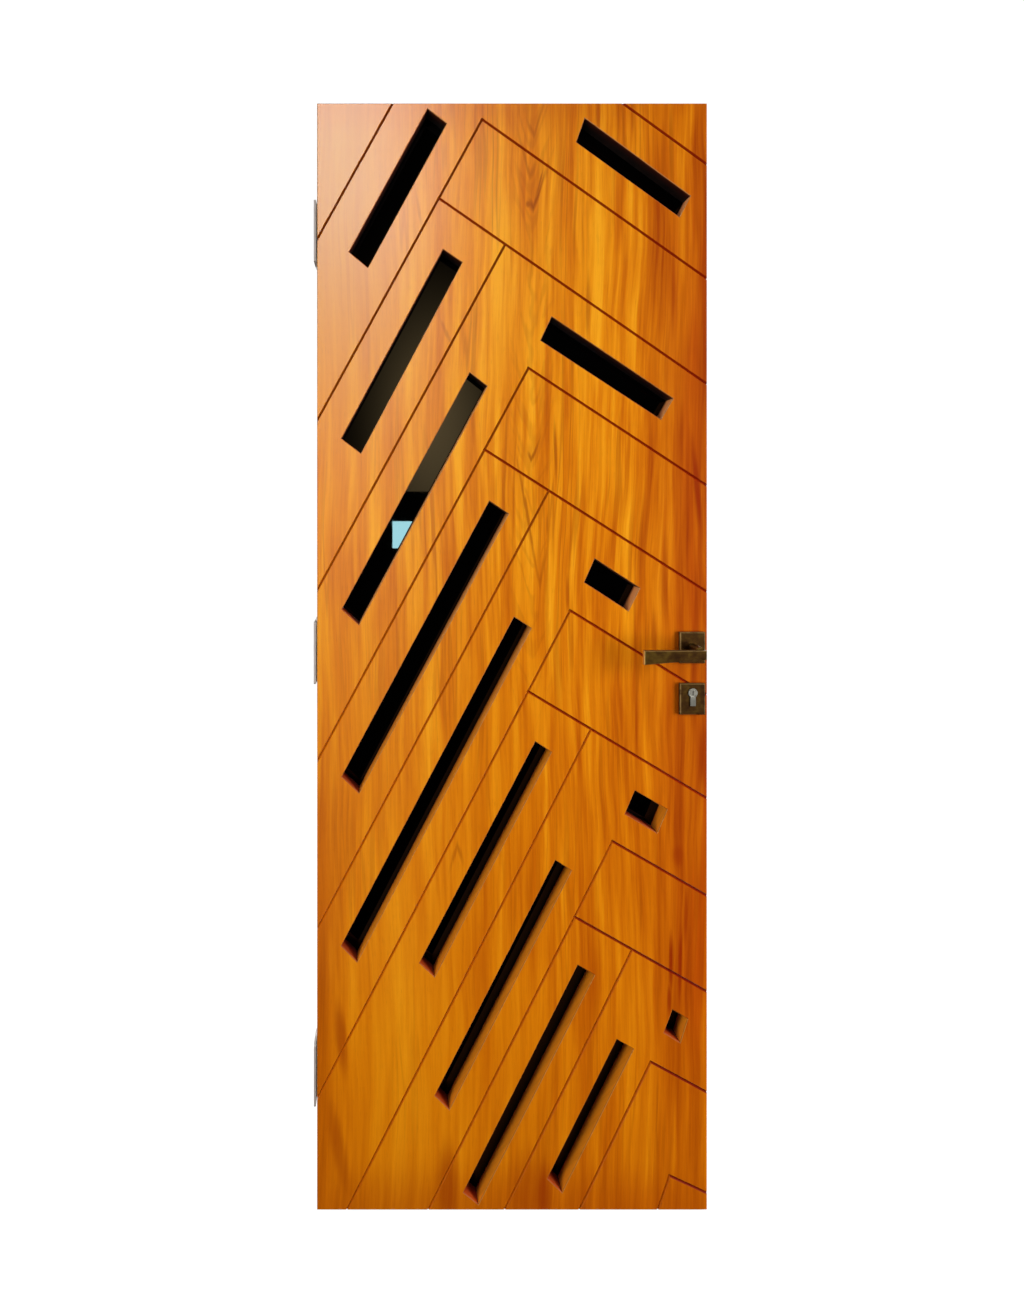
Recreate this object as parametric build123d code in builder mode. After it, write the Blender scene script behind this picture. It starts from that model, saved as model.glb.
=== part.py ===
"""Security door leaf with slanted glazed slots, hung on three barrel hinges.

The outside face looks toward -Y, +X is the lock side and +Z is up. The origin
lies on the wall-side face of the middle hinge's jamb plate, at its centre.
All lengths are millimetres.
"""

import os

from build123d import *

os.makedirs("parts", exist_ok=True)

# ---------------------------------------------------------------- dimensions
LEAF_W = 740.0  # leaf width
LEAF_H = 2100.0  # leaf height
FRONT_T, BACK_T = 45.0, 23.0  # wooden panels on the outside and the inside
CORE_T = 10.0  # steel-faced core, and the glass strips in it
LEAF_T = FRONT_T + CORE_T + BACK_T

PLATE_T = 4.0  # hinge plate thickness
JAMB_GAP = 5.0  # leaf edge to jamb plate
PLATE_D = 40.0  # hinge plate depth across the leaf's edge
PLATE_H = 120.0  # hinge plate height
SCREW_DY, SCREW_DZ = 20.0, 76.0  # spacing of the plate's four screws
SCREW_R, SCREW_HEAD_R = 2.75, 4.5
HINGE_Z = (-820.0, 0.0, 820.0)  # hinge centres

PIN_R = 4.0
PIN_GAP = 0.05  # running clearance round the pin
BARREL_R = 8.0
PIN_OUT = 13.0  # pin axis beyond the inside face
KNUCKLE_H = 38.0  # the leaf's knuckle, the middle one of three
KNUCKLE_GAP = 1.0

GROOVE_W, GROOVE_D = 5.0, 3.4  # V-groove across the veneer
RIM = 1.2  # softened edges of the panel and the slots

LOCK_U, LOCK_V = 710.0, 1068.0  # spindle axis, from the leaf's lower left corner
CYL_DROP = 85.0  # spindle to cylinder
SPINDLE = 8.0
SPINDLE_BORE_R = 8.0
ROSE_W, ROSE_H, ROSE_T = 48.0, 59.0, 9.0
ROSE_BEVEL = 2.0
NECK_R = 8.0
NECK_GAP = 0.4
LEVER_BACK, LEVER_T = 44.0, 12.0  # bar's back face off the panel, bar thickness
LEVER_LEN, LEVER_TAIL = 104.0, 11.0  # tip and tail, from the spindle axis
LEVER_HUB_Z, LEVER_HUB_H = -6.5, 17.0
LEVER_TIP_Z, LEVER_TIP_H = -11.5, 26.0

FACE_W, FACE_H, FACE_T = 24.0, 260.0, 3.0  # lock faceplate

# Derived placement
X0 = PLATE_T + JAMB_GAP  # hinge edge of the leaf
X1 = X0 + LEAF_W
Y_OUT = -(LEAF_T - PLATE_D / 2)  # outside face
Y_CORE0 = Y_OUT + FRONT_T
Y_CORE1 = Y_CORE0 + CORE_T
Y_IN = Y_OUT + LEAF_T  # inside face
Y_MID = Y_OUT + LEAF_T / 2
Z0 = -LEAF_H / 2
PIN_X = X0 - 0.5
PIN_Y = Y_IN + PIN_OUT
LOCK_X, LOCK_Z = X0 + LOCK_U, Z0 + LOCK_V
CYL_Z = LOCK_Z - CYL_DROP

# Slot rims, lower left first, from the leaf's lower left corner (u right, v up),
# and how far the glass reaches behind the rim.
SLOTS = {
    "glass_strip_left_1": (((60.6, 1818.1), (96.7, 1788.4), (245.9, 2061.7), (209.7, 2090.0)), 4.0),
    "glass_strip_left_2": (((46.2, 1463.9), (83.4, 1435.9), (275.4, 1798.2), (239.1, 1823.0)), 8.0),
    "glass_strip_left_3": (((47.2, 1139.9), (79.5, 1110.8), (322.8, 1563.2), (289.8, 1589.0)), 8.0),
    "glass_strip_left_4": (((46.8, 822.1), (80.0, 791.2), (363.1, 1320.8), (327.0, 1345.4)), 8.0),
    "glass_strip_left_5": (((46.0, 501.1), (76.1, 470.6), (405.9, 1103.7), (373.9, 1125.2)), 8.0),
    "glass_strip_left_6": (((194.7, 468.9), (223.2, 442.4), (444.3, 868.6), (414.3, 888.5)), 8.0),
    "glass_strip_left_7": (((223.6, 217.0), (251.2, 190.4), (482.4, 643.8), (452.3, 663.3)), 8.0),
    "glass_strip_left_8": (((277.6, 33.1), (306.2, 10.2), (526.7, 445.5), (494.9, 464.6)), 5.0),
    "glass_strip_left_9": (((437.2, 59.3), (465.1, 32.9), (600.4, 305.0), (569.0, 323.4)), 8.0),
    "glass_strip_right_1": (((492.1, 2026.7), (687.9, 1884.7), (708.4, 1924.2), (508.1, 2071.9)), 8.0),
    "glass_strip_right_2": (((424.4, 1650.2), (652.7, 1500.4), (675.4, 1539.8), (445.4, 1694.9)), 8.0),
    "glass_strip_right_3": (((507.3, 1191.2), (590.6, 1137.0), (612.3, 1179.9), (527.0, 1235.7)), 8.0),
    "glass_strip_right_4": (((584.4, 751.4), (645.6, 715.1), (664.3, 759.6), (603.3, 795.7)), 8.0),
    "glass_strip_right_5": (((658.3, 336.3), (689.1, 317.3), (703.2, 362.1), (674.7, 379.7)), 8.0),
}

# V-grooves, inner or upper end first, then the end at the leaf's edge.
GROOVES = [
    ((143.4, 2100.0), (0.0, 1842.0)),
    ((313.1, 2069.3), (0.0, 1498.0)),
    ((356.7, 1831.8), (0.0, 1175.7)),
    ((400.9, 1597.6), (0.0, 851.6)),
    ((439.6, 1365.0), (0.0, 532.8)),
    ((480.2, 1137.5), (0.0, 210.8)),
    ((519.9, 912.7), (56.7, 0.0)),
    ((560.5, 699.6), (211.1, 0.0)),
    ((598.1, 494.3), (356.0, 0.0)),
    ((633.2, 281.0), (497.7, 0.0)),
    ((668.8, 65.1), (646.8, 0.0)),
    ((580.0, 2100.0), (740.0, 1983.8)),
    ((313.1, 2069.3), (740.0, 1767.1)),
    ((232.1, 1919.1), (740.0, 1567.1)),
    ((400.9, 1597.6), (740.0, 1374.3)),
    ((317.8, 1443.0), (740.0, 1172.8)),
    ((480.2, 1137.5), (740.0, 977.4)),
    ((400.5, 984.0), (740.0, 780.8)),
    ((560.5, 699.6), (740.0, 596.0)),
    ((488.8, 556.1), (740.0, 414.0)),
    ((633.2, 281.0), (740.0, 223.1)),
    ((668.8, 65.1), (740.0, 32.1)),
]


# ------------------------------------------------------------------- helpers
def place(points):
    """Leaf coordinates (u, v) to (x, z)."""
    return [(X0 + u, Z0 + v) for u, v in points]


def grow(points, d):
    """A counter-clockwise convex outline with every side moved out by d."""
    sides = []
    for (x1, z1), (x2, z2) in zip(points, points[1:] + points[:1]):
        length = ((x2 - x1) ** 2 + (z2 - z1) ** 2) ** 0.5
        ux, uz = (x2 - x1) / length, (z2 - z1) / length
        sides.append((x1 + d * uz, z1 - d * ux, ux, uz))
    out = []
    for i, (x2, z2, bx, bz) in enumerate(sides):
        x1, z1, ax, az = sides[i - 1]
        t = ((x2 - x1) * bz - (z2 - z1) * bx) / (ax * bz - az * bx)
        out.append((x1 + t * ax, z1 + t * az))
    return out


def xz(y):
    """Sketch plane at the given y: +X right, +Z up, normal toward -Y."""
    return Plane.XZ.offset(-y)


def groove_plane(start, end, y):
    """Plane across one groove: x across it, y toward -Y, z along it."""
    (x1, z1), (x2, z2) = start, end
    length = ((x2 - x1) ** 2 + (z2 - z1) ** 2) ** 0.5
    ux, uz = (x2 - x1) / length, (z2 - z1) / length
    back = 8.0 if z1 > Z0 + LEAF_H - 1 else GROOVE_W / 2
    plane = Plane(
        origin=(x1 - back * ux, y, z1 - back * uz),
        x_dir=(-uz, 0, ux),
        z_dir=(ux, 0, uz),
    )
    return plane, length + back + 8.0


def cylinder_profile(clear):
    """Outline of a profile cylinder, round above and straight below, for the sketch in hand."""
    with Locations((LOCK_X, CYL_Z)):
        Circle(8.5 + clear)
    with Locations((LOCK_X, CYL_Z - 12.25)):
        Rectangle(10 + 2 * clear, 24.5 + 2 * clear)


# ---------------------------------------------------------------- leaf panels
def panel(y0, thick, y_face, sign):
    """One wooden panel from y0 toward -Y, with its show face at y_face; sign is -1 outside, +1 inside."""
    with BuildPart() as wood:
        with BuildSketch(xz(y0)):
            with Locations((X0 + LEAF_W / 2, 0)):
                Rectangle(LEAF_W, LEAF_H)
            for rim, _ in SLOTS.values():
                Polygon(*place(rim), mode=Mode.SUBTRACT)
        extrude(amount=thick)
        show = wood.faces().filter_by(Axis.Y).sort_by(Axis.Y)[0 if sign < 0 else -1]
        chamfer(show.edges(), RIM)
        # spindle bore and cylinder hole
        with BuildSketch(xz(y0)):
            with Locations((LOCK_X, LOCK_Z)):
                Circle(SPINDLE_BORE_R)
            cylinder_profile(0.5)
        extrude(amount=thick, mode=Mode.SUBTRACT)
        if sign < 0:
            # pocket for the lock faceplate
            with BuildSketch(Plane.YZ.offset(X1 - FACE_T)):
                with Locations((Y_MID, LOCK_Z - CYL_DROP / 2)):
                    Rectangle(FACE_W, FACE_H)
            extrude(amount=FACE_T + 1, mode=Mode.SUBTRACT)
        # grooves
        for a, b in GROOVES:
            (pa, pb) = place((a, b))
            plane, run = groove_plane(pa, pb, y_face)
            w, d = GROOVE_W / 2, GROOVE_D
            with BuildSketch(plane):
                if sign < 0:
                    Polygon((-w, 1), (-w, 0), (0, -d), (w, 0), (w, 1))
                else:
                    Polygon((-w, -1), (w, -1), (w, 0), (0, d), (-w, 0))
            extrude(amount=run, mode=Mode.SUBTRACT)
        # pockets for the hinge plates
        with BuildSketch(Plane.YZ.offset(X0)):
            with Locations(*[(0, z) for z in HINGE_Z]):
                Rectangle(PLATE_D, PLATE_H)
        extrude(amount=PLATE_T, mode=Mode.SUBTRACT)
    return wood


front_panel = panel(Y_CORE0, FRONT_T, Y_OUT, -1)
front_panel.part.label = "front_panel"
export_step(front_panel.part, "parts/front_panel.step")

back_panel = panel(Y_IN, BACK_T, Y_IN, 1)
back_panel.part.label = "back_panel"
export_step(back_panel.part, "parts/back_panel.step")

# Steel-faced core between the panels, cut out for the glass strips.
with BuildPart() as steel_core:
    with BuildSketch(xz(Y_CORE1)):
        with Locations((X0 + LEAF_W / 2, 0)):
            Rectangle(LEAF_W, LEAF_H)
        for rim, bite in SLOTS.values():
            Polygon(*grow(place(rim), bite), mode=Mode.SUBTRACT)
        with Locations((LOCK_X, LOCK_Z)):
            Circle(SPINDLE_BORE_R, mode=Mode.SUBTRACT)
    extrude(amount=CORE_T)
    with BuildSketch(xz(Y_CORE1)):
        cylinder_profile(0.15)
    extrude(amount=CORE_T, mode=Mode.SUBTRACT)
    with BuildSketch(Plane.YZ.offset(X1 - FACE_T)):
        with Locations((Y_MID, LOCK_Z - CYL_DROP / 2)):
            Rectangle(FACE_W, FACE_H)
    extrude(amount=FACE_T + 1, mode=Mode.SUBTRACT)
    with BuildSketch(Plane.YZ.offset(X0)):
        with Locations(*[(0, z) for z in HINGE_Z]):
            Rectangle(PLATE_D, PLATE_H)
    extrude(amount=PLATE_T, mode=Mode.SUBTRACT)
steel_core.part.label = "steel_core"
export_step(steel_core.part, "parts/steel_core.step")

# Laminated glass strips, each in its own cut-out of the core.
for strip, (rim, bite) in SLOTS.items():
    with BuildPart() as pane:
        with BuildSketch(xz(Y_CORE1)):
            Polygon(*grow(place(rim), bite - 0.5))
        extrude(amount=CORE_T)
    pane.part.label = strip
    export_step(pane.part, f"parts/{strip}.step")

# --------------------------------------------------------------------- hinges
KNUCKLE_Z = KNUCKLE_H / 2 + KNUCKLE_GAP  # where the jamb's knuckles begin
KNUCKLE_END = PLATE_H / 2


def screw_plane(x_face, toward):
    """Plane on a plate's visible face, its normal along +X or -X: x along Y, y along Z."""
    return Plane(origin=(x_face, 0, 0), x_dir=(0, toward, 0), z_dir=(toward, 0, 0))


for name, hz in zip(("bottom", "middle", "top"), HINGE_Z):
    up = Location((0, 0, hz))

    with BuildPart() as jamb:
        with BuildSketch(Plane.YZ):
            Rectangle(PLATE_D, PLATE_H)
        extrude(amount=PLATE_T)
        fillet(jamb.edges().filter_by(Axis.X).group_by(Axis.Y)[0], 4)
        with Locations(screw_plane(PLATE_T, 1)):
            with GridLocations(SCREW_DY, SCREW_DZ, 2, 2):
                CounterSinkHole(SCREW_R, SCREW_HEAD_R, depth=PLATE_T, counter_sink_angle=90)
        for z0, z1 in ((-KNUCKLE_END, -KNUCKLE_Z), (KNUCKLE_Z, KNUCKLE_END)):
            with BuildSketch(Plane.XY.offset(z0)):
                with Locations((PIN_X, PIN_Y)):
                    Circle(BARREL_R)
                Polygon((0, PLATE_D / 2 - 1), (PLATE_T, PLATE_D / 2 - 1), (PLATE_T, PIN_Y), (PIN_X - BARREL_R, PIN_Y), (0, PIN_Y - 4))
                with Locations((PIN_X, PIN_Y)):
                    Circle(PIN_R + PIN_GAP, mode=Mode.SUBTRACT)
            extrude(amount=z1 - z0)
    jamb.part.locate(up)
    jamb.part.label = f"hinge_jamb_plate_{name}"
    export_step(jamb.part, f"parts/hinge_jamb_plate_{name}.step")

    with BuildPart() as wing:
        with BuildSketch(Plane.YZ.offset(X0)):
            Rectangle(PLATE_D, PLATE_H)
        extrude(amount=PLATE_T)
        with Locations(screw_plane(X0, -1)):
            with GridLocations(SCREW_DY, SCREW_DZ, 2, 2):
                CounterSinkHole(SCREW_R, SCREW_HEAD_R, depth=PLATE_T, counter_sink_angle=90)
        with BuildSketch(Plane.XY.offset(-KNUCKLE_H / 2)):
            with Locations((PIN_X, PIN_Y)):
                Circle(BARREL_R)
            Polygon((X0, PLATE_D / 2 - 1), (X0 + PLATE_T, PLATE_D / 2 - 1), (X0 + PLATE_T, PIN_Y - 5), (X0, PIN_Y - 5))
            with Locations((PIN_X, PIN_Y)):
                Circle(PIN_R + PIN_GAP, mode=Mode.SUBTRACT)
        extrude(amount=KNUCKLE_H)
    wing.part.locate(up)
    wing.part.label = f"hinge_leaf_plate_{name}"
    export_step(wing.part, f"parts/hinge_leaf_plate_{name}.step")

    with BuildPart() as pin:
        with BuildSketch(Plane.XY.offset(-KNUCKLE_END)):
            with Locations((PIN_X, PIN_Y)):
                Circle(PIN_R)
        extrude(amount=2 * KNUCKLE_END)
        for z, d in ((KNUCKLE_END, 1), (-KNUCKLE_END, -1)):
            with BuildSketch(Plane.XY.offset(z)):
                with Locations((PIN_X, PIN_Y)):
                    Circle(BARREL_R - 0.5)
            extrude(amount=d * 4.0)
        fillet(pin.edges().filter_by(GeomType.CIRCLE).group_by(Axis.Z)[0], 2.5)
        fillet(pin.edges().filter_by(GeomType.CIRCLE).group_by(Axis.Z)[-1], 2.5)
    pin.part.locate(up)
    pin.part.label = f"hinge_pin_{name}"
    export_step(pin.part, f"parts/hinge_pin_{name}.step")

# ----------------------------------------------------------------------- lock
LATCH_Z = LOCK_Z + 18.0
BOLT_Z = (CYL_Z - 40.0, CYL_Z - 12.0, CYL_Z + 16.0)

with BuildPart() as lock_faceplate:
    with BuildSketch(Plane.YZ.offset(X1 - FACE_T)):
        with Locations((Y_MID, LOCK_Z - CYL_DROP / 2)):
            Rectangle(FACE_W, FACE_H)
        with Locations((Y_MID, LATCH_Z)):
            Rectangle(14, 34, mode=Mode.SUBTRACT)
        with Locations(*[(Y_MID, z) for z in BOLT_Z]):
            Circle(9, mode=Mode.SUBTRACT)
    extrude(amount=FACE_T)
    with Locations(screw_plane(X1, 1)):
        with Locations(*[(Y_MID, LOCK_Z - CYL_DROP / 2 + s * (FACE_H / 2 - 14)) for s in (-1, 1)]):
            CounterSinkHole(2.25, 4.0, depth=FACE_T, counter_sink_angle=90)
lock_faceplate.part.label = "lock_faceplate"
export_step(lock_faceplate.part, "parts/lock_faceplate.step")

with BuildPart() as latch_bolt:
    with BuildSketch(Plane.YZ.offset(X1 - FACE_T)):
        with Locations((Y_MID, LATCH_Z)):
            Rectangle(13.6, 33.6)
    extrude(amount=FACE_T + 1)
    chamfer(latch_bolt.faces().sort_by(Axis.X)[-1].edges(), 0.8)
latch_bolt.part.label = "latch_bolt"
export_step(latch_bolt.part, "parts/latch_bolt.step")

with BuildPart() as deadbolts:
    with BuildSketch(Plane.YZ.offset(X1 - FACE_T)):
        with Locations(*[(Y_MID, z) for z in BOLT_Z]):
            Circle(8.8)
    extrude(amount=FACE_T + 1)
    chamfer(deadbolts.faces().group_by(Axis.X)[-1].edges(), 0.8)
deadbolts.part.label = "deadbolts"
export_step(deadbolts.part, "parts/deadbolts.step")

# Profile cylinder right through the leaf, 2 mm proud of both escutcheons.
CYL_OUT = ROSE_T + 2.0
with BuildPart() as lock_cylinder:
    with BuildSketch(xz(Y_IN + CYL_OUT)):
        cylinder_profile(0.0)
    extrude(amount=LEAF_T + 2 * CYL_OUT)
    # keyways
    for y, d in ((Y_OUT - CYL_OUT, -1), (Y_IN + CYL_OUT, 1)):
        with BuildSketch(xz(y)):
            with Locations((LOCK_X, CYL_Z)):
                Rectangle(1.8, 9.0)
        extrude(amount=d * 6.0, mode=Mode.SUBTRACT)
lock_cylinder.part.label = "lock_cylinder"
export_step(lock_cylinder.part, "parts/lock_cylinder.step")

# ----------------------------------------------- roses, escutcheons and levers
SPINDLE_END = 30.0  # spindle beyond each face

for side, y_face, s in (("outside", Y_OUT, -1), ("inside", Y_IN, 1)):
    with BuildPart() as rose:
        with BuildSketch(xz(y_face)):
            with Locations((LOCK_X, LOCK_Z)):
                Rectangle(ROSE_W, ROSE_H)
        extrude(amount=-s * ROSE_T)
        chamfer(rose.faces().filter_by(Axis.Y).sort_by(Axis.Y)[0 if s < 0 else -1].edges(), ROSE_BEVEL)
        with BuildSketch(xz(y_face)):
            with Locations((LOCK_X, LOCK_Z)):
                Circle(NECK_R + NECK_GAP)
        extrude(amount=-s * ROSE_T, mode=Mode.SUBTRACT)
    rose.part.label = f"{side}_rose"
    export_step(rose.part, f"parts/{side}_rose.step")

    with BuildPart() as plate:
        with BuildSketch(xz(y_face)):
            with Locations((LOCK_X, CYL_Z - 12.0)):
                Rectangle(ROSE_W, ROSE_H)
        extrude(amount=-s * ROSE_T)
        chamfer(plate.faces().filter_by(Axis.Y).sort_by(Axis.Y)[0 if s < 0 else -1].edges(), ROSE_BEVEL)
        with BuildSketch(xz(y_face)):
            cylinder_profile(0.4)
        extrude(amount=-s * ROSE_T, mode=Mode.SUBTRACT)
    plate.part.label = f"{side}_escutcheon"
    export_step(plate.part, f"parts/{side}_escutcheon.step")

    with BuildPart() as lever:
        # neck from just off the panel to the bar
        with BuildSketch(xz(y_face + s * 0.8)):
            with Locations((LOCK_X, LOCK_Z)):
                Circle(NECK_R)
        extrude(amount=-s * (LEVER_BACK + LEVER_T / 2))
        # bar, tapering from tip to hub
        with BuildSketch(xz(y_face + s * LEVER_BACK)):
            Polygon(
                (LOCK_X - LEVER_LEN, LOCK_Z + LEVER_TIP_Z - LEVER_TIP_H / 2),
                (LOCK_X + LEVER_TAIL, LOCK_Z + LEVER_HUB_Z - LEVER_HUB_H / 2),
                (LOCK_X + LEVER_TAIL, LOCK_Z + LEVER_HUB_Z + LEVER_HUB_H / 2),
                (LOCK_X - LEVER_LEN, LOCK_Z + LEVER_TIP_Z + LEVER_TIP_H / 2),
            )
        extrude(amount=-s * LEVER_T)
        chamfer(lever.faces().filter_by(Axis.Y).sort_by(Axis.Y)[0 if s < 0 else -1].edges(), 1.5)
        # square socket for the spindle
        with BuildSketch(xz(y_face)):
            with Locations((LOCK_X, LOCK_Z)):
                Rectangle(SPINDLE, SPINDLE)
        extrude(amount=-s * SPINDLE_END, mode=Mode.SUBTRACT)
    lever.part.label = f"{side}_lever"
    export_step(lever.part, f"parts/{side}_lever.step")

with BuildPart() as spindle:
    with BuildSketch(xz(Y_IN + SPINDLE_END)):
        with Locations((LOCK_X, LOCK_Z)):
            Rectangle(SPINDLE, SPINDLE)
    extrude(amount=LEAF_T + 2 * SPINDLE_END)
spindle.part.label = "spindle"
export_step(spindle.part, "parts/spindle.step")
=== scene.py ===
import math
import random

import bmesh
import bpy
from mathutils import Matrix, Vector


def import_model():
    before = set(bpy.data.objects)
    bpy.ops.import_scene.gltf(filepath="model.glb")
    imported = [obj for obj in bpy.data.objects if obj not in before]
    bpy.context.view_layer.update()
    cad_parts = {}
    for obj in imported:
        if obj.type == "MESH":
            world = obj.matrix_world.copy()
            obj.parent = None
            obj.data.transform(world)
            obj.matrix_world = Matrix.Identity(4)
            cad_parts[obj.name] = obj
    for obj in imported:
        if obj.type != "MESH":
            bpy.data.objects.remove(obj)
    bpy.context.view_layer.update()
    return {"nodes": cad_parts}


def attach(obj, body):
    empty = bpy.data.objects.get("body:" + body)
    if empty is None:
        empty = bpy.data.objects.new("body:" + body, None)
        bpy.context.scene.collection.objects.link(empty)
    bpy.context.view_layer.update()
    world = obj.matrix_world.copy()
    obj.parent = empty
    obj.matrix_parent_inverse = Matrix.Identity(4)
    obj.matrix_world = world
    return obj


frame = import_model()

NODES = frame["nodes"]

# The leaf, in metres
X0, X1 = 0.009, 0.749
Z0, Z1 = -1.050, 1.050
Y_OUT, Y_IN = -0.058, 0.020
FRONT_T, BACK_T = 0.045, 0.023
LOCK_X, LOCK_Z, CYL_Z = 0.719, 0.018, -0.067


# ------------------------------------------------------------ shader building
class Val:
    """One number flowing through a shader, so that formulas read as formulas."""

    def __init__(self, shader, socket):
        self.shader, self.socket = shader, socket

    def __add__(self, other):
        return self.shader.math("ADD", self, other)

    __radd__ = __add__

    def __sub__(self, other):
        return self.shader.math("SUBTRACT", self, other)

    def __rsub__(self, other):
        return self.shader.math("SUBTRACT", other, self)

    def __mul__(self, other):
        return self.shader.math("MULTIPLY", self, other)

    __rmul__ = __mul__

    def __truediv__(self, other):
        return self.shader.math("DIVIDE", self, other)

    def __abs__(self):
        return self.shader.math("ABSOLUTE", self)

    def fract(self):
        return self.shader.math("FRACT", self)

    def power(self, exponent):
        return self.shader.math("POWER", self, exponent)

    def least(self, other):
        return self.shader.math("MINIMUM", self, other)

    def most(self, other):
        return self.shader.math("MAXIMUM", self, other)

    def clamped(self):
        return self.shader.math("ADD", self, 0.0, clamp=True)

    def smooth(self, low, high):
        """0 below low, 1 above high, smooth between; falls instead if low is above high."""
        return self.shader.map(self, low, high, 0.0, 1.0, "SMOOTHSTEP")

    def between(self, low, high, soft):
        return self.smooth(low - soft, low) * self.smooth(high + soft, high)


class Shader:
    """A node material put together call by call."""

    def __init__(self, name):
        self.mat = bpy.data.materials.new(name)
        self.mat.use_nodes = True
        self.tree = self.mat.node_tree
        self.tree.nodes.clear()
        self.out = self.add("ShaderNodeOutputMaterial")
        self.bsdf = self.add("ShaderNodeBsdfPrincipled")
        self.tree.links.new(self.bsdf.outputs["BSDF"], self.out.inputs["Surface"])
        coords = self.add("ShaderNodeTexCoord")
        self.point = self.xyz(coords.outputs["Object"])
        self.normal = self.xyz(coords.outputs["Normal"])

    def add(self, kind, **settings):
        node = self.tree.nodes.new(kind)
        for key, value in settings.items():
            setattr(node, key, value)
        return node

    def put(self, socket, value):
        if isinstance(value, Val):
            value = value.socket
        if isinstance(value, bpy.types.NodeSocket):
            self.tree.links.new(value, socket)
        else:
            socket.default_value = value

    def xyz(self, vector):
        node = self.add("ShaderNodeSeparateXYZ")
        self.put(node.inputs[0], vector)
        return [Val(self, s) for s in node.outputs]

    def vector(self, x, y, z):
        node = self.add("ShaderNodeCombineXYZ")
        for socket, value in zip(node.inputs, (x, y, z)):
            self.put(socket, value)
        return node.outputs[0]

    def math(self, operation, *values, clamp=False):
        node = self.add("ShaderNodeMath", operation=operation, use_clamp=clamp)
        for socket, value in zip(node.inputs, values):
            self.put(socket, value)
        return Val(self, node.outputs[0])

    def map(self, value, a, b, c, d, kind="LINEAR"):
        node = self.add("ShaderNodeMapRange", interpolation_type=kind)
        for socket, v in zip(node.inputs[:5], (value, a, b, c, d)):
            self.put(socket, v)
        return Val(self, node.outputs[0])

    def noise(self, x, y, z, detail=2.0, rough=0.5, distort=0.0):
        node = self.add("ShaderNodeTexNoise", noise_dimensions="3D")
        self.put(node.inputs["Vector"], self.vector(x, y, z))
        node.inputs["Scale"].default_value = 1.0
        node.inputs["Detail"].default_value = detail
        node.inputs["Roughness"].default_value = rough
        node.inputs["Distortion"].default_value = distort
        return Val(self, node.outputs[0])

    def ramp(self, value, stops):
        node = self.add("ShaderNodeValToRGB")
        self.put(node.inputs[0], value)
        band = node.color_ramp
        while len(band.elements) < len(stops):
            band.elements.new(0.5)
        for element, (place, colour) in zip(band.elements, stops):
            element.position = place
            element.color = (*colour, 1.0)
        return node.outputs[0]

    def mix(self, factor, a, b, blend="MIX"):
        node = self.add("ShaderNodeMix", data_type="RGBA", blend_type=blend)
        self.put(node.inputs[0], factor)
        for socket, value in ((node.inputs[6], a), (node.inputs[7], b)):
            self.put(socket, (*value, 1.0) if isinstance(value, tuple) else value)
        return node.outputs[2]

    def shade(self, colour, value):
        """A colour times a number."""
        node = self.add("ShaderNodeVectorMath", operation="SCALE")
        self.put(node.inputs[0], colour)
        self.put(node.inputs["Scale"], value)
        return node.outputs[0]

    def bump(self, height, distance, strength=1.0, normal=None):
        node = self.add("ShaderNodeBump")
        node.inputs["Strength"].default_value = strength
        node.inputs["Distance"].default_value = distance
        self.put(node.inputs["Height"], height)
        if normal is not None:
            self.put(node.inputs["Normal"], normal)
        return node.outputs[0]

    def finish(self, **inputs):
        for name, value in inputs.items():
            socket = self.bsdf.inputs[name.replace("_", " ")]
            self.put(socket, (*value, 1.0) if isinstance(value, tuple) and len(value) == 3 else value)
        return self.mat


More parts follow.
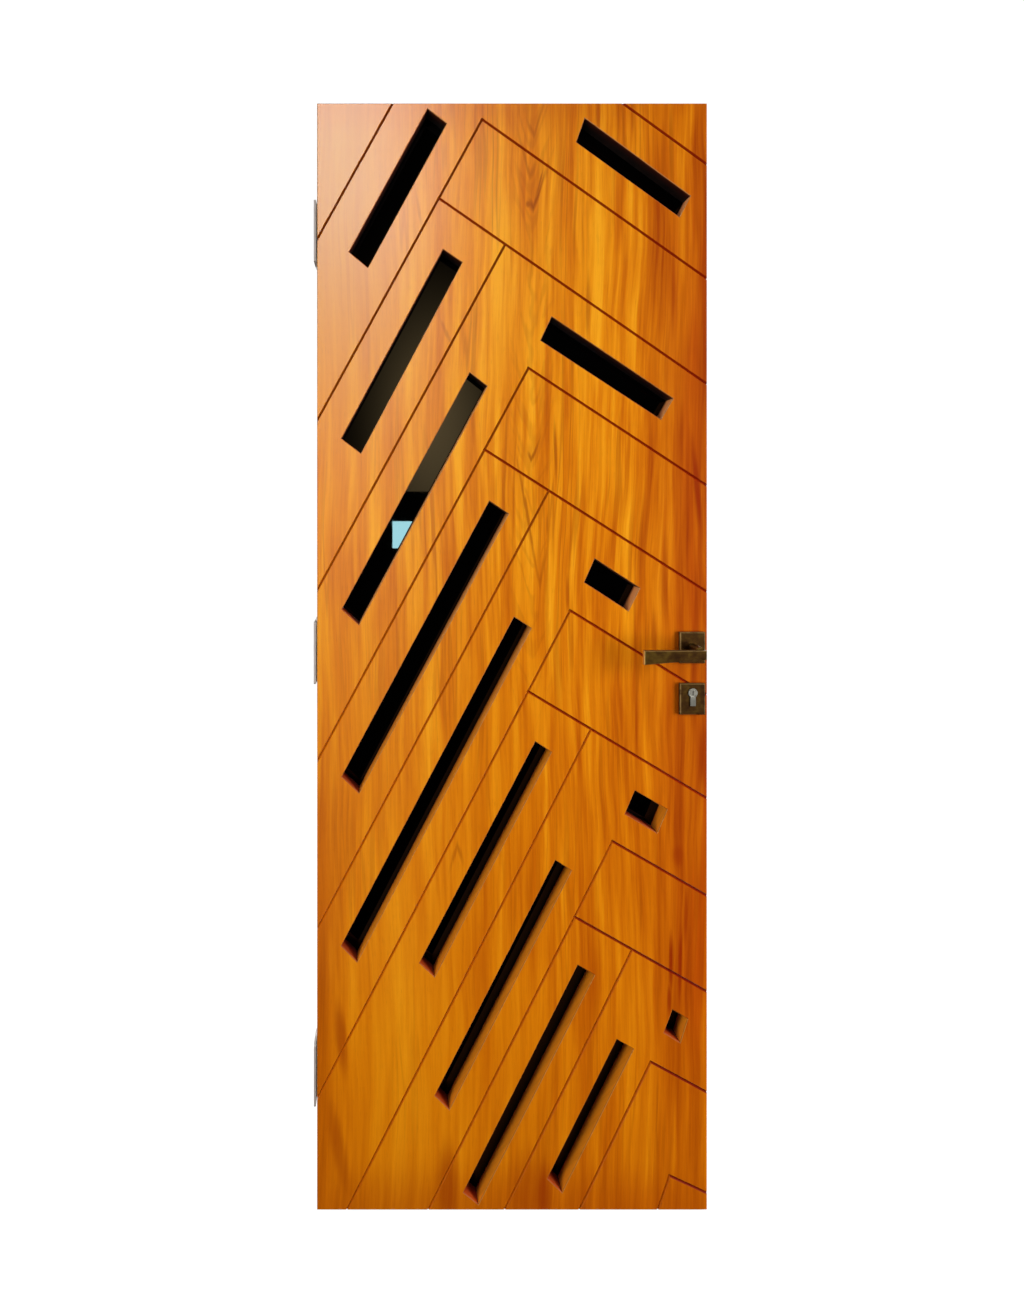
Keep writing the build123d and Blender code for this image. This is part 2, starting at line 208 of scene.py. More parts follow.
# ------------------------------------------------------------------ materials
def veneer():
    """Amber varnished veneer, its grain running up the leaf, its grooves dark with stain, with painted light and shade
    across its face, in its grooves and on its slot walls.
    """
    sh = Shader("veneer")
    x, y, z = sh.point
    nx, ny, nz = sh.normal
    ny = abs(ny)
    u, v, deep = x - X0, z - Z0, y - Y_OUT
    w = u + deep * 0.85

    # the grain wanders slowly as it climbs
    slow = sh.noise(w * 1.9, v * 0.70, 0.0, detail=1.0) - 0.5
    wave = sh.noise(w * 9.0, v * 2.6, 4.0, detail=2.0) - 0.5
    s = w + slow * 0.085 + wave * 0.024

    broad = sh.noise(s * 31.0, v * 1.45, 2.0, detail=2.0, rough=0.55)
    mid = sh.noise(s * 98.0, v * 3.8, 6.0, detail=2.0, rough=0.6)
    fine = sh.noise(s * 430.0, v * 9.0, 9.0, detail=2.0, rough=0.6)
    pores = sh.noise(s * 1500.0, v * 42.0, 13.0, detail=1.0)
    clouds = sh.noise(w * 2.6, v * 1.0, 21.0, detail=2.0)

    # quieter toward the foot and the upper hinge corner; lighter in the middle by painted light, darker low on the
    # lock side by painted shade
    lively = (v.smooth(0.20, 1.30) * 0.45 + 0.62) * (1.0 - u.smooth(0.36, 0.06) * v.smooth(0.90, 1.60) * 0.52) * (1.0 - u.smooth(0.50, 0.30) * v.smooth(1.25, 0.95) * 0.28)
    painted_light_zone = u.between(0.06, 0.50, 0.24) * v.between(1.24, 1.84, 0.46) * 0.075 + u.between(0.12, 0.20, 0.10) * v.between(0.10, 0.70, 0.30) * 0.035 + u.smooth(0.20, 0.05) * v.between(0.88, 1.06, 0.15) * 0.045 + u.between(0.20, 0.48, 0.10) * v.between(1.62, 1.84, 0.12) * 0.025
    painted_shade_zone = u.smooth(0.30, 0.52) * v.smooth(1.30, 0.70) * 0.045 + u.smooth(0.46, 0.60) * v.smooth(1.20, 1.50) * 0.030 + u.smooth(0.60, 0.68) * v.between(1.14, 1.32, 0.08) * 0.040
    streaks = (broad - 0.5) * 0.62 + (mid - 0.5) * 0.46 + (fine - 0.5) * 0.15
    tone = streaks * lively + (clouds - 0.5) * 0.14 + painted_light_zone - painted_shade_zone + 0.50
    colour = sh.ramp(tone, [
        (0.30, (0.420, 0.066, 0.0010)),
        (0.42, (0.590, 0.138, 0.0014)),
        (0.52, (0.715, 0.203, 0.0022)),
        (0.62, (0.835, 0.292, 0.0050)),
        (0.72, (0.930, 0.385, 0.0110)),
    ])

    # painted shade: the upper hinge corner is turned darker and greyer
    painted_shade_corner = u.smooth(0.34, 0.02) * v.smooth(1.25, 2.02)
    colour = sh.mix(painted_shade_corner * 0.82, colour, (0.365, 0.158, 0.012))

    # lines and hooks of the figure, placed one by one
    drawn = w + wave * 0.012 + (mid - 0.5) * 0.011

    spot = sh.vector(drawn, v, 0.0)

    def stroke(u0, v0, half_u, half_v, strength, lean=0.0):
        """A tapered streak about (u0, v0); lean is how far it moves right per metre climbed."""
        if lean:
            near = sh.add("ShaderNodeMapping", vector_type="TEXTURE")
            near.inputs["Location"].default_value = (u0, v0, 0.0)
            near.inputs["Rotation"].default_value = (0.0, 0.0, -math.atan(lean))
            near.inputs["Scale"].default_value = (half_u, half_v, 1.0)
        else:
            near = sh.add("ShaderNodeVectorMath", operation="MULTIPLY_ADD")
            near.inputs[1].default_value = (1.0 / half_u, 1.0 / half_v, 0.0)
            near.inputs[2].default_value = (-u0 / half_u, -v0 / half_v, 0.0)
        sh.put(near.inputs[0], spot)
        away = sh.add("ShaderNodeVectorMath", operation="LENGTH")
        sh.put(away.inputs[0], near.outputs[0])
        return sh.map(Val(sh, away.outputs["Value"]), 1.0, 0.22, 0.0, strength, "SMOOTHSTEP")

    def hook(u0, v0, steep_left, steep_right, left, right, half, strength):
        """A line that dips to (u0, v0) and climbs on both sides of it, thickest where it turns."""
        du = drawn - u0
        rise = du.most(0.0) * steep_right + (0.0 - du).most(0.0) * steep_left
        off = abs(v - v0 - rise)
        line = off.smooth(half * abs(steep_left + steep_right) * 0.5, 0.0)
        return line * du.smooth(-left, -left * 0.2) * du.smooth(right, right * 0.2) * strength

    brown = [
        hook(0.4105, 1.902, 1.3, 2.8, 0.0130, 0.036, 0.0080, 1.00),
        hook(0.404, 1.962, 3.6, 2.2, 0.034, 0.016, 0.0062, 0.55),
        hook(0.410, 2.040, 2.2, 3.0, 0.022, 0.036, 0.0062, 0.58),
        hook(0.407, 1.424, 1.6, 2.6, 0.012, 0.024, 0.0064, 0.85),
        hook(0.421, 1.190, 5.0, 4.2, 0.042, 0.028, 0.0052, 0.50),
        hook(0.266, 0.692, -3.4, -2.6, 0.020, 0.018, 0.0056, 0.50),
        stroke(0.4220, 1.948, 0.0032, 0.042, 0.85, 0.265),
        stroke(0.4025, 1.909, 0.0070, 0.010, 0.80),
        stroke(0.4515, 1.440, 0.0034, 0.085, 0.70),
        stroke(0.398, 1.320, 0.0040, 0.150, 0.70, -0.16),
        stroke(0.436, 1.300, 0.0042, 0.034, 0.60),
        stroke(0.674, 2.010, 0.0070, 0.130, 0.62),
        stroke(0.677, 1.742, 0.0070, 0.115, 0.74),
        stroke(0.193, 1.897, 0.0050, 0.050, 0.38, -0.18),
        stroke(0.243, 1.666, 0.0050, 0.040, 0.40, -0.40),
        stroke(0.6447, 0.170, 0.0034, 0.110, 0.50),
        stroke(0.613, 0.570, 0.0034, 0.070, 0.44),
    ]
    red = [
        stroke(0.720, 1.372, 0.0085, 0.130, 0.90, -0.09),
        stroke(0.671, 0.470, 0.0066, 0.075, 0.95),
        stroke(0.668, 0.400, 0.0052, 0.040, 0.75),
        stroke(0.690, 0.465, 0.0068, 0.105, 0.95),
        stroke(0.699, 0.560, 0.0046, 0.080, 0.60),
        stroke(0.735, 0.860, 0.0200, 0.100, 0.70),
        stroke(0.684, 0.672, 0.0150, 0.030, 0.50),
        stroke(0.516, 1.715, 0.0064, 0.090, 0.50),
        stroke(0.534, 2.080, 0.0060, 0.050, 0.55),
        stroke(0.476, 1.170, 0.0056, 0.050, 0.50),
        stroke(0.046, 0.326, 0.0150, 0.095, 0.56, -0.10),
        stroke(0.040, 0.115, 0.0190, 0.120, 0.44, -0.20),
        stroke(0.247, 0.045, 0.0300, 0.115, 0.58),
        stroke(0.400, 0.040, 0.0500, 0.110, 0.42),
        stroke(0.427, 0.030, 0.0220, 0.090, 0.62),
        stroke(0.640, 1.090, 0.0064, 0.070, 0.52),
        stroke(0.660, 1.200, 0.0085, 0.120, 0.52),
    ]

    def strongest(marks):
        best = marks[0]
        for mark in marks[1:]:
            best = best.most(mark)
        return best

    # thin dark lines that follow the grain and come and go
    n = sh.noise(s * 58.0, v * 1.5, 40.0, detail=1.0)
    come = sh.noise(s * 14.0, v * 2.6, 43.0, detail=1.0)
    thin = abs(n - 0.5).smooth(0.050, 0.008) * come.smooth(0.47, 0.62) * lively * 0.36
    # faint nested hooks up the middle of the leaf, where the cut ran flat through the rings
    off = drawn - 0.408
    rings = sh.noise((v - (off * off + 0.00006).power(0.5) * 3.0) * 12.5, off * 16.0, 51.0, detail=1.0)
    nested = abs(rings - 0.5).smooth(0.070, 0.010) * abs(off).smooth(0.056, 0.016) * v.smooth(0.80, 1.15) * 0.22
    colour = sh.mix(strongest(brown).most(thin).most(nested), colour, (0.340, 0.066, 0.0012))

    # darker red along the lock edge, low on the hinge edge, at the foot and at the head: the heart noise is red heart
    # wood, the broad fall toward the edges is painted shade
    heart = sh.noise(s * 46.0, v * 1.6, 31.0, detail=2.0).smooth(0.34, 0.62)
    lock_edge = u.smooth(0.570, 0.740) * v.smooth(2.30, 1.80) * (v.smooth(0.05, 0.45) * 0.7 + 0.3) * (heart * 0.46 + 0.40)
    hinge_edge = u.smooth(0.060, 0.0) * v.smooth(1.05, 0.55) * 0.46
    foot = v.smooth(0.120, 0.0) * 0.42
    head = v.smooth(2.02, 2.10) * 0.22
    zone = lock_edge.most(hinge_edge).most(foot).most(head)
    colour = sh.mix(zone, colour, sh.shade((0.385, 0.044, 0.0010), streaks * 1.6 + 1.0))
    colour = sh.mix(strongest(red), colour, (0.300, 0.026, 0.0010))

    # V-grooves: stain has gathered in them; they are made darker where they run down to the lock side and change with
    # height, as painted shade
    groove = ny.between(0.55, 0.63, 0.02)
    falling = (abs(nz) - abs(nx)).smooth(-0.15, 0.15)
    rising_groove_stain_and_shade = sh.mix(v.smooth(0.60, 1.95), (0.600, 0.145, 0.002), (0.240, 0.042, 0.003))
    falling_groove_stain_and_shade = sh.mix(v.smooth(0.30, 1.00), (0.185, 0.005, 0.001), (0.285, 0.014, 0.001))
    colour = sh.mix(groove * 0.92, colour, sh.mix(falling, rising_groove_stain_and_shade, falling_groove_stain_and_shade))

    # slot walls: painted shade on the walls that face away from the hinges and on the sills, darker deeper toward the
    # glass and higher up; painted light on the walls that look to the hinges, paler high up
    hidden = (deep * (1.0 / FRONT_T)).least(((Y_IN - Y_OUT) - deep) * (1.0 / BACK_T))
    outline = u.smooth(0.0006, 0.0014) * u.smooth(0.7394, 0.7386) * v.smooth(0.0006, 0.0014) * v.smooth(2.0994, 2.0986)
    wall = ny.smooth(0.30, 0.16) * outline
    rim = ny.between(0.69, 0.73, 0.015) * outline
    # painted shade: walls facing away from the hinges, darker deeper toward the glass and higher up the leaf
    painted_shade_wall = sh.ramp(hidden, [
        (0.02, (0.340, 0.046, 0.003)),
        (0.22, (0.085, 0.008, 0.001)),
        (0.60, (0.008, 0.001, 0.001)),
    ])
    painted_shade_wall = sh.shade(painted_shade_wall, v.smooth(1.60, 0.60) * 0.7 + 0.3)
    # painted light: the walls that look to the hinges, lit orange, darker at the rim and deep toward the glass
    painted_lit_wall_low = sh.ramp(hidden, [
        (0.02, (0.420, 0.080, 0.002)),
        (0.08, (0.970, 0.300, 0.008)),
        (0.78, (0.980, 0.300, 0.008)),
        (0.92, (0.900, 0.220, 0.006)),
        (1.00, (0.640, 0.110, 0.004)),
    ])
    # painted light, paler, for the same walls high up
    painted_lit_wall_high = sh.ramp(hidden, [
        (0.03, (0.740, 0.290, 0.050)),
        (0.12, (0.950, 0.400, 0.090)),
        (0.55, (0.860, 0.320, 0.060)),
        (1.00, (0.160, 0.020, 0.004)),
    ])
    # painted highlight on the end walls of the strips on the lock side
    painted_lit_end_wall = sh.ramp(hidden, [
        (0.03, (0.640, 0.250, 0.070)),
        (0.12, (1.000, 0.420, 0.130)),
        (0.70, (1.000, 0.360, 0.100)),
        (0.98, (0.140, 0.020, 0.004)),
    ])
    ends = u.smooth(0.56, 0.60) * v.smooth(0.90, 1.15)
    painted_lit_side = sh.mix(v.smooth(0.80, 1.30), painted_lit_wall_low, painted_lit_wall_high)
    painted_lit_side = sh.mix(ends, painted_lit_side, painted_lit_end_wall)
    painted_lit_side = sh.shade(painted_lit_side, mid * 0.5 + 0.75)
    # painted shade on the walls facing up
    painted_shade_sill = sh.ramp(hidden, [
        (0.02, (0.500, 0.075, 0.005)),
        (0.45, (0.330, 0.032, 0.003)),
        (1.00, (0.060, 0.004, 0.001)),
    ])
    painted_shade_wall = sh.mix(nz.smooth(0.55, 0.80), painted_shade_wall, painted_shade_sill)
    colour = sh.mix(wall, colour, sh.mix(nx.smooth(-0.66, -0.80), painted_shade_wall, painted_lit_side))
    # painted highlight on the rims that look to the hinges; the other rims get a darker line, painted shade
    painted_rim_highlight = nx.smooth(-0.30, -0.50) * 0.50 + nx.smooth(0.48, 0.56) * 0.14
    colour = sh.mix(rim, colour, sh.mix(painted_rim_highlight, (0.330, 0.075, 0.004), sh.mix(v.smooth(0.70, 1.25), (0.920, 0.380, 0.035), (0.850, 0.420, 0.110))))

    # solid lipping round the leaf's edge, quieter than the veneer
    lipping = ny.smooth(0.30, 0.16) * (1.0 - outline)
    colour = sh.mix(lipping * 0.85, colour, sh.shade((0.340, 0.135, 0.026), streaks * 1.6 + 1.0))

    # pores stay a little darker under the varnish
    pore = pores.smooth(0.62, 0.72)
    colour = sh.mix(pore * 0.20, colour, (0.22, 0.040, 0.002))

    rough = 0.21 + (fine - 0.5) * 0.06 + (clouds - 0.5) * 0.04 + wall * 0.30 + rim * 0.50
    height = sh.noise(w * 1150.0, v * 30.0, 17.0, detail=1.0)
    return sh.finish(
        Base_Color=colour,
        Roughness=rough,
        IOR=1.5,
        Specular_IOR_Level=0.30,
        Normal=sh.bump(height, 0.00002, 0.5),
    )


def dark_glass():
    """Dark laminated glass, faintly wavy, with a little dust and wiping marks."""
    sh = Shader("glass")
    x, y, z = sh.point
    wipe = sh.noise(x * 16.0 + z * 9.0, y * 4.0, z * 6.0 - x * 5.0, detail=3.0, rough=0.6)
    dust = sh.noise(x * 420.0, y * 420.0, z * 420.0, detail=2.0).smooth(0.62, 0.80)
    colour = sh.mix(dust * 0.35, (0.0005, 0.0005, 0.0006), (0.006, 0.006, 0.0055))
    wavy = sh.noise(x * 7.0, y * 7.0, z * 7.0, detail=1.0)
    return sh.finish(
        Base_Color=colour,
        Roughness=wipe.smooth(0.45, 0.75) * 0.030 + dust * 0.05 + 0.012,
        IOR=1.45,
        Specular_IOR_Level=0.22,
        Normal=sh.bump(wavy, 0.0006, 0.10),
    )


def bronze():
    """Dark patinated bronze, rubbed bright along its edges, with a painted highlight on the lever's free end."""
    sh = Shader("bronze")
    x, y, z = sh.point
    nx, ny, nz = sh.normal
    cloud = sh.noise(x * 60.0, y * 60.0, z * 60.0, detail=4.0, rough=0.6)
    speck = sh.noise(x * 900.0, y * 900.0, z * 900.0, detail=2.0)
    brush = sh.noise(x * 90.0, y * 1400.0, z * 1400.0, detail=2.0)
    square = abs(nx).most(abs(ny)).most(abs(nz))
    worn = square.smooth(0.93, 0.80) * cloud.smooth(0.30, 0.52)
    # painted highlight on the lever's end face
    painted_end_highlight = x.smooth(LOCK_X - 0.1030, LOCK_X - 0.1036)
    grip = x.smooth(LOCK_X - 0.030, LOCK_X - 0.100)
    colour = sh.ramp(cloud + (brush - 0.5) * 0.25 + grip * 0.16, [
        (0.30, (0.044, 0.015, 0.0018)),
        (0.50, (0.068, 0.029, 0.0030)),
        (0.72, (0.116, 0.064, 0.0075)),
    ])
    colour = sh.mix(worn * 0.60, colour, (0.42, 0.27, 0.100))
    colour = sh.mix(painted_end_highlight * 0.90, colour, (0.80, 0.53, 0.15))
    rough = 0.46 - worn * 0.10 + (cloud - 0.5) * 0.25 + (brush - 0.5) * 0.08
    return sh.finish(
        Base_Color=colour,
        Metallic=0.85,
        Roughness=rough,
        Normal=sh.bump(speck * 0.6 + brush * 0.4, 0.00008, 0.5),
    )


def satin_metal(name, dark, light, rough, along, lines):
    """Brushed metal, its lines running along one axis."""
    sh = Shader(name)
    p = [c * (60.0 if i == along else lines) for i, c in enumerate(sh.point)]
    brush = sh.noise(*p, detail=3.0, rough=0.65)
    cloud = sh.noise(*[c * 45.0 for c in sh.point], detail=3.0)
    nx, ny, nz = [abs(c) for c in sh.normal]
    worn = nx.most(ny).most(nz).smooth(0.95, 0.82)
    colour = sh.mix(brush * 0.55 + cloud * 0.45, dark, light)
    colour = sh.mix(worn * 0.4, colour, tuple(min(1.0, c * 1.25) for c in light))
    return sh, colour, brush, cloud, worn, rough


def steel(name, dark, light, rough=0.34, metallic=0.95, along=2, lines=1500.0):
    sh, colour, brush, cloud, worn, rough = satin_metal(name, dark, light, rough, along, lines)
    return sh.finish(
        Base_Color=colour,
        Metallic=metallic,
        Roughness=rough + (brush - 0.5) * 0.16 + (cloud - 0.5) * 0.14 - worn * 0.06,
        Normal=sh.bump(brush, 0.00005, 0.5),
    )


def cylinder_metal():
    """Satin nickel of the lock cylinder, with the turned ring round its plug."""
    sh = Shader("cylinder")
    x, y, z = sh.point
    dx, dz = x - LOCK_X, z - CYL_Z
    r = (dx * dx + dz * dz).power(0.5)
    ring = r.between(0.00655, 0.00690, 0.00012)
    turned = sh.noise(r * 5200.0, y * 900.0, 3.0, detail=2.0)
    cloud = sh.noise(x * 130.0, y * 130.0, z * 130.0, detail=3.0)
    colour = sh.mix(turned * 0.5 + cloud * 0.5, (0.32, 0.315, 0.26), (0.54, 0.53, 0.45))
    # painted shade: the lower stem of the cylinder is darker
    colour = sh.shade(colour, dz.smooth(-0.016, -0.004) * 0.35 + 0.65)
    colour = sh.mix(ring * 0.85, colour, (0.06, 0.055, 0.05))
    return sh.finish(
        Base_Color=colour,
        Metallic=0.55,
        Roughness=0.30 + (cloud - 0.5) * 0.2 + ring * 0.2,
        Normal=sh.bump(turned * 0.4 - ring * 3.0, 0.00006, 0.5),
    )


def painted_core():
    """Dark grey primed steel, seen only as a line round the leaf's edge."""
    sh = Shader("core")
    x, y, z = sh.point
    cloud = sh.noise(x * 30.0, y * 30.0, z * 30.0, detail=4.0, rough=0.6)
    peel = sh.noise(x * 700.0, y * 700.0, z * 700.0, detail=1.0)
    scuff = sh.noise(x * 400.0, y * 400.0, z * 14.0, detail=3.0).smooth(0.60, 0.74)
    colour = sh.mix(cloud, (0.030, 0.029, 0.028), (0.062, 0.060, 0.057))
    colour = sh.mix(scuff * 0.5, colour, (0.17, 0.165, 0.155))
    return sh.finish(
        Base_Color=colour,
        Metallic=0.2,
        Roughness=0.52 + (cloud - 0.5) * 0.2 - scuff * 0.12,
        Normal=sh.bump(peel, 0.00008, 0.4),
    )


VENEER = veneer()
GLASS = dark_glass()
BRONZE = bronze()
CYLINDER = cylinder_metal()
LOCK_STEEL = steel("lock_steel", (0.50, 0.495, 0.48), (0.76, 0.755, 0.735), 0.28)
FACEPLATE = steel("faceplate", (0.19, 0.185, 0.175), (0.34, 0.335, 0.32), 0.40)
HINGE = steel("hinge", (0.74, 0.735, 0.72), (0.92, 0.915, 0.90), 0.40, metallic=0.12)
CORE = painted_core()

FINISHES = {
    "front_panel": VENEER,
    "back_panel": VENEER,
    "steel_core": CORE,
    "glass_strip": GLASS,
    "hinge_": HINGE,
    "lock_faceplate": FACEPLATE,
    "latch_bolt": LOCK_STEEL,
    "deadbolts": LOCK_STEEL,
    "lock_cylinder": CYLINDER,
    "outside_": BRONZE,
    "inside_": BRONZE,
    "spindle": LOCK_STEEL,
}

for name, node in NODES.items():
    finish = next(m for key, m in FINISHES.items() if name.startswith(key))
    node.data.materials.clear()
    node.data.materials.append(finish)


# --------------------------------------------------------------------- screws
def screw(bm, place, head_r, shank_r, length):
    """A countersunk screw with a cross recess, its head flush at z = 0 and its shank below."""
    sides = 32
    edge = 0.00018

    def loop(radius, z):
        return [
            bm.verts.new(place @ Vector((radius * math.cos(2 * math.pi * i / sides), radius * math.sin(2 * math.pi * i / sides), z)))
            for i in range(sides)
        ]

    def cross(arm, half, z):
        painted_shade_corner = [(half, -arm), (half, -half), (arm, -half), (arm, half), (half, half), (half, arm)]
        outline = painted_shade_corner + [(-a, -b) for a, b in painted_shade_corner]
        return [bm.verts.new(place @ Vector((a, b, z))) for a, b in outline]

    def band(top, bottom):
        for i in range(len(top)):
            j = (i + 1) % len(top)
            bm.faces.new((top[i], top[j], bottom[j], bottom[i]))

    def ring_edges(verts):
        return [bm.edges.new((verts[i], verts[(i + 1) % len(verts)])) for i in range(len(verts))]

    cone = head_r - shank_r
    face = loop(head_r - edge, 0.0)
    shoulder = loop(head_r, -edge)
    neck = loop(shank_r, -edge - cone)
    end = loop(shank_r, -length)
    mouth = cross(head_r * 0.58, head_r * 0.13, 0.0)
    floor = cross(head_r * 0.34, head_r * 0.10, -head_r * 0.42)
    bmesh.ops.triangle_fill(bm, use_beauty=True, edges=ring_edges(face) + ring_edges(mouth), normal=place.to_3x3() @ Vector((0, 0, 1)))
    band(shoulder, face)
    band(neck, shoulder)
    band(end, neck)
    band(mouth, floor)
    bm.faces.new(floor)
    bm.faces.new(list(reversed(end)))


def screws(name, places, head_r, shank_r, length, material):
    bm = bmesh.new()
    for place in places:
        screw(bm, place, head_r, shank_r, length)
    bmesh.ops.recalc_face_normals(bm, faces=bm.faces)
    mesh = bpy.data.meshes.new(name)
    bm.to_mesh(mesh)
    bm.free()
    obj = bpy.data.objects.new(name, mesh)
    bpy.context.scene.collection.objects.link(obj)
    mesh.materials.append(material)
    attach(obj, "leaf")
    return obj


turns = random.Random(7)


def facing(point, toward):
    """Places a screw at a point, its head looking along +X or -X, turned as it came to rest."""
    face = Matrix.Rotation(math.radians(90.0 * toward), 4, "Y")
    return Matrix.Translation(point) @ face @ Matrix.Rotation(turns.uniform(0.0, math.pi), 4, "Z")


screws(
    "hinge_screws",
    [facing((X0, dy, hz + dz), -1) for hz in (-0.820, 0.0, 0.820) for dy in (-0.010, 0.010) for dz in (-0.038, 0.038)],
    0.00430, 0.00260, 0.00390, HINGE,
)
screws(
    "faceplate_screws",
    [facing((X1, (Y_OUT + Y_IN) / 2, z), 1) for z in (0.0915, -0.1405)],
    0.00385, 0.00210, 0.00290, LOCK_STEEL,
)


# ---------------------------------------------------------------------- stage
def floor():
    bm = bmesh.new()
    bmesh.ops.create_grid(bm, x_segments=8, y_segments=8, size=30.0)
    mesh = bpy.data.meshes.new("floor")
    bm.to_mesh(mesh)
    bm.free()
    obj = bpy.data.objects.new("floor", mesh)
    obj.location = (0.38, 0.0, Z0 - 0.008)
    bpy.context.scene.collection.objects.link(obj)
    mat = bpy.data.materials.new("floor")
    mat.use_nodes = True
    bsdf = mat.node_tree.nodes["Principled BSDF"]
    bsdf.inputs["Base Color"].default_value = (0.30, 0.30, 0.30, 1.0)
    bsdf.inputs["Roughness"].default_value = 0.9
    bsdf.inputs["Specular IOR Level"].default_value = 0.0
    bsdf.inputs["Emission Color"].default_value = (1.0, 1.0, 1.0, 1.0)
    bsdf.inputs["Emission Strength"].default_value = 0.93
    mesh.materials.append(mat)
    obj.visible_diffuse = False
    obj.visible_glossy = False


def world():
    """White behind the object, and a soft room that is dark in front of and behind the leaf."""
    made = bpy.data.worlds.new("studio")
    bpy.context.scene.world = made
    made.use_nodes = True
    tree = made.node_tree
    tree.nodes.clear()
    out = tree.nodes.new("ShaderNodeOutputWorld")
    mix = tree.nodes.new("ShaderNodeMixShader")
    path = tree.nodes.new("ShaderNodeLightPath")
    coords = tree.nodes.new("ShaderNodeTexCoord")
    split = tree.nodes.new("ShaderNodeSeparateXYZ")
    facing = tree.nodes.new("ShaderNodeMath")
    facing.operation = "ABSOLUTE"
    under = tree.nodes.new("ShaderNodeMapRange")
    under.interpolation_type = "SMOOTHSTEP"
    for socket, value in zip(under.inputs[1:5], (-0.45, 0.05, 0.05, 1.0)):
        socket.default_value = value
    dimmed = tree.nodes.new("ShaderNodeMath")
    dimmed.operation = "MULTIPLY"
    level = tree.nodes.new("ShaderNodeMapRange")
    level.interpolation_type = "SMOOTHSTEP"
    for socket, value in zip(level.inputs[1:5], (0.35, 0.66, ROOM_LEVEL, 0.012)):
        socket.default_value = value
    room = tree.nodes.new("ShaderNodeBackground")
    room.inputs["Color"].default_value = (1.0, 0.985, 0.96, 1.0)
    white = tree.nodes.new("ShaderNodeBackground")
    white.inputs["Color"].default_value = (1.0, 1.0, 1.0, 1.0)
    white.inputs["Strength"].default_value = 1.05
    tree.links.new(coords.outputs["Generated"], split.inputs[0])
    tree.links.new(split.outputs["Y"], facing.inputs[0])
    tree.links.new(facing.outputs[0], level.inputs[0])
    tree.links.new(split.outputs["Z"], under.inputs[0])
    tree.links.new(level.outputs[0], dimmed.inputs[0])
    tree.links.new(under.outputs[0], dimmed.inputs[1])
    tree.links.new(dimmed.outputs[0], room.inputs["Strength"])
    tree.links.new(path.outputs["Is Camera Ray"], mix.inputs[0])
    tree.links.new(room.outputs[0], mix.inputs[1])
    tree.links.new(white.outputs[0], mix.inputs[2])
    tree.links.new(mix.outputs[0], out.inputs["Surface"])


def panel_light(name, place, target, size, radiance, colour, gloss=True, spread=True):
    """A soft rectangular light of the given brightness, turned toward a point."""
    data = bpy.data.lights.new(name, "AREA")
    data.shape = "RECTANGLE"
    data.size, data.size_y = size
    data.energy = radiance * math.pi * size[0] * size[1]
    data.color = colour
    obj = bpy.data.objects.new(name, data)
    obj.location = place
    obj.rotation_euler = (Vector(target) - Vector(place)).to_track_quat("-Z", "Y").to_euler()
    obj.visible_camera = False
    obj.visible_glossy = gloss
    obj.visible_diffuse = spread
    bpy.context.scene.collection.objects.link(obj)
    return obj


def reaches(light, pieces):
    """Lets a light be mirrored by the given pieces only."""
    group = bpy.data.collections.new(light.name + "_reach")
    for piece in pieces:
        group.objects.link(piece)
    light.light_linking.receiver_collection = group


def softbox(name, x, z, y, colour, level, pieces):
    """A see-through glowing panel facing the leaf, for the given pieces to mirror; level gives its brightness."""
    mesh = bpy.data.meshes.new(name)
    mesh.from_pydata([(x[0], y, z[0]), (x[0], y, z[1]), (x[1], y, z[1]), (x[1], y, z[0])], [], [(0, 1, 2, 3)])
    obj = bpy.data.objects.new(name, mesh)
    bpy.context.scene.collection.objects.link(obj)
    sh = Shader(name)
    px, _, pz = sh.point
    glow = sh.add("ShaderNodeEmission")
    glow.inputs["Color"].default_value = (*colour, 1.0)
    sh.put(glow.inputs["Strength"], level(sh, px, pz))
    both = sh.add("ShaderNodeAddShader")
    sh.tree.links.new(sh.add("ShaderNodeBsdfTransparent").outputs[0], both.inputs[0])
    sh.tree.links.new(glow.outputs[0], both.inputs[1])
    sh.tree.links.new(both.outputs[0], sh.out.inputs["Surface"])
    sh.tree.nodes.remove(sh.bsdf)
    mesh.materials.append(sh.mat)
    obj.visible_camera = False
    obj.visible_diffuse = False
    obj.visible_shadow = False
    reaches(obj, pieces)
    return obj


ROOM_LEVEL = 0.60
WARM = (1.0, 0.985, 0.97)
floor()
world()
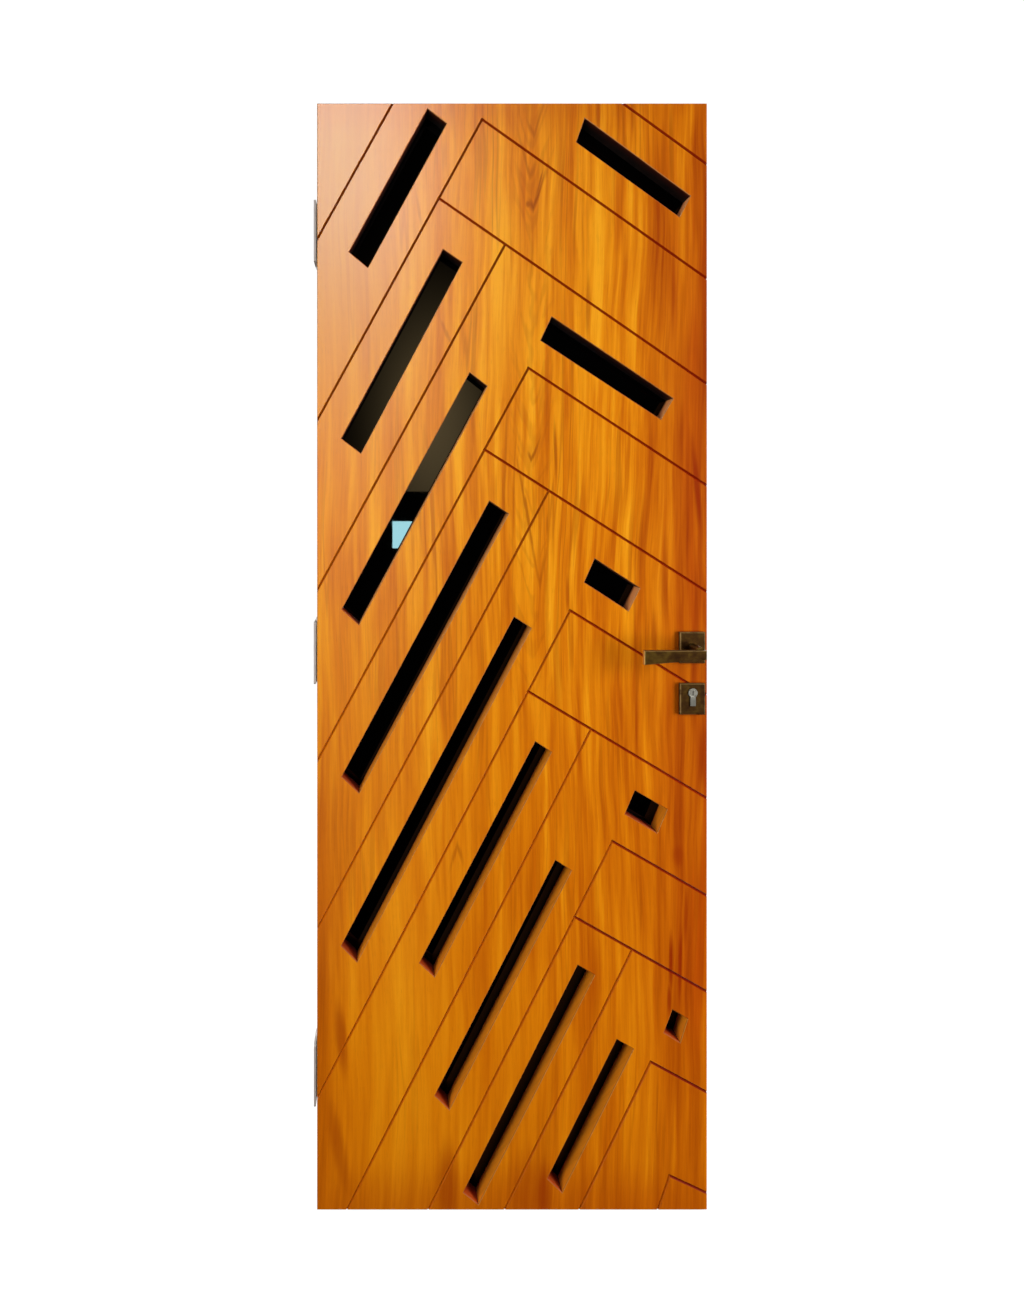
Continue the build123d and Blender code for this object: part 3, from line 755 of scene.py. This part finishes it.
# light that models the form
panel_light("key", (-1.75, -2.00, 0.30), (0.35, 0.0, 0.05), (1.0, 2.4), 6.0, WARM)
panel_light("fill", (2.90, -1.75, 0.10), (0.40, 0.0, 0.0), (1.0, 2.4), 13.6, WARM)
panel_light("back_key", (2.0, 1.90, 1.40), (0.38, 0.0, 0.10), (1.1, 1.4), 12.0, WARM)
panel_light("back_fill", (0.30, 3.20, 0.50), (0.38, 0.0, -0.10), (2.6, 2.6), 2.6, WARM, gloss=False)


# Panels that are seen only mirrored. Each spreads from the place where the
# main view finds it in the leaf, and fades away from there.
STRIPS = [node for name, node in NODES.items() if name.startswith("glass_strip")]


def sheen(sh, x, z):
    """Brightest by the upper hinge corner, dying away down the leaf and across it."""
    down = ((1.4082 - z) * (1.0 / 0.660)).most(0.0).power(1.12)
    across = ((x - 0.150) * (1.0 / 0.190)).most(0.0).power(1.65)
    first = Val(sh, sh.add("ShaderNodeLightPath").outputs["Ray Depth"]).smooth(1.6, 1.4)
    return sh.math("EXPONENT", -1.0 * (down + across)) * first * 17.4


def strip_glow(sh, x, z):
    """A faint brown-olive glow in the second and third strips."""
    dx, dz = (x - 0.3387) * (1.0 / 0.1415), z - 0.6205
    up, low = dz.most(0.0) * (1.0 / 0.265), dz.least(0.0) * (1.0 / 0.310)
    return sh.math("EXPONENT", (dx * dx + up * up + low * low) * -0.5) * 4.50


softbox("sheen", (-0.70, 1.06), (-1.50, 2.63), Y_OUT - 1.60, (0.97, 0.98, 1.0), sheen, [NODES["front_panel"]])
softbox("strip_glow", (-0.16, 0.84), (0.331, 1.70), -2.002, (1.0, 0.72, 0.34), strip_glow, STRIPS)
softbox("cool_glow", (0.179, 0.276), (0.103, 0.210), -2.008, (0.46, 0.90, 1.0), lambda sh, x, z: 50.7, STRIPS)

# ---------------------------------------------------------------------- camera
# Square on to the leaf, level with its upper half, the frame shifted to take
# in the whole leaf.
lens_data = bpy.data.cameras.new("camera")
lens_data.sensor_width = 36.0
lens_data.lens = 26.01
lens_data.shift_x = 0.1005
lens_data.shift_y = -0.1192
camera = bpy.data.objects.new("camera", lens_data)
camera.location = (0.1285, Y_OUT - 1.80, 0.2972)
camera.rotation_euler = (math.pi / 2, 0.0, 0.0)
bpy.context.scene.collection.objects.link(camera)
bpy.context.scene.camera = camera

bpy.context.scene.view_settings.view_transform = "Standard"
bpy.context.scene.view_settings.look = "None"
